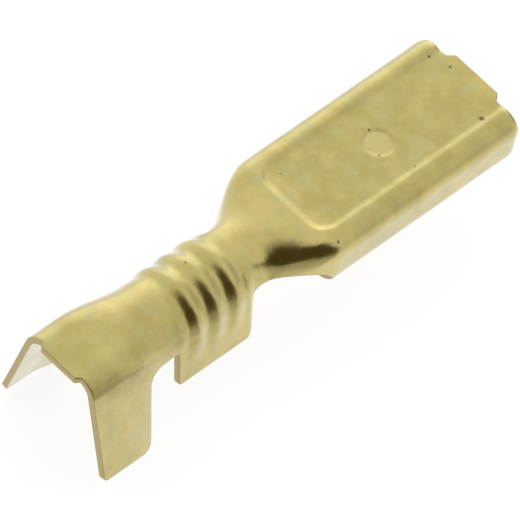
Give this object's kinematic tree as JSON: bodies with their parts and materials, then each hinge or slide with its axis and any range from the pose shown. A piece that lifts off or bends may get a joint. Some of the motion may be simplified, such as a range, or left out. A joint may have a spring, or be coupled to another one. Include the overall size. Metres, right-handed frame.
{
  "type": "female spade terminal",
  "caption": "Open-barrel female spade terminal in brass: rolled receptacle for a flat tab, ribbed wire crimp and taller insulation crimp, all formed from a single strip.",
  "frame": {"origin": "middle of the tab slot, in the plane of the mouth of the receptacle", "axes": "+X out of the mouth along the terminal, +Y across it, +Z out of the plain back of the floor; the crimp wings hang toward -Z"},
  "size_m": [0.0154, 0.004, 0.0038],
  "materials": {
    "strip": "rolled, satin"
  },
  "bodies": {
    "root": {"terminal": "strip"}
  },
  "joints": []
}
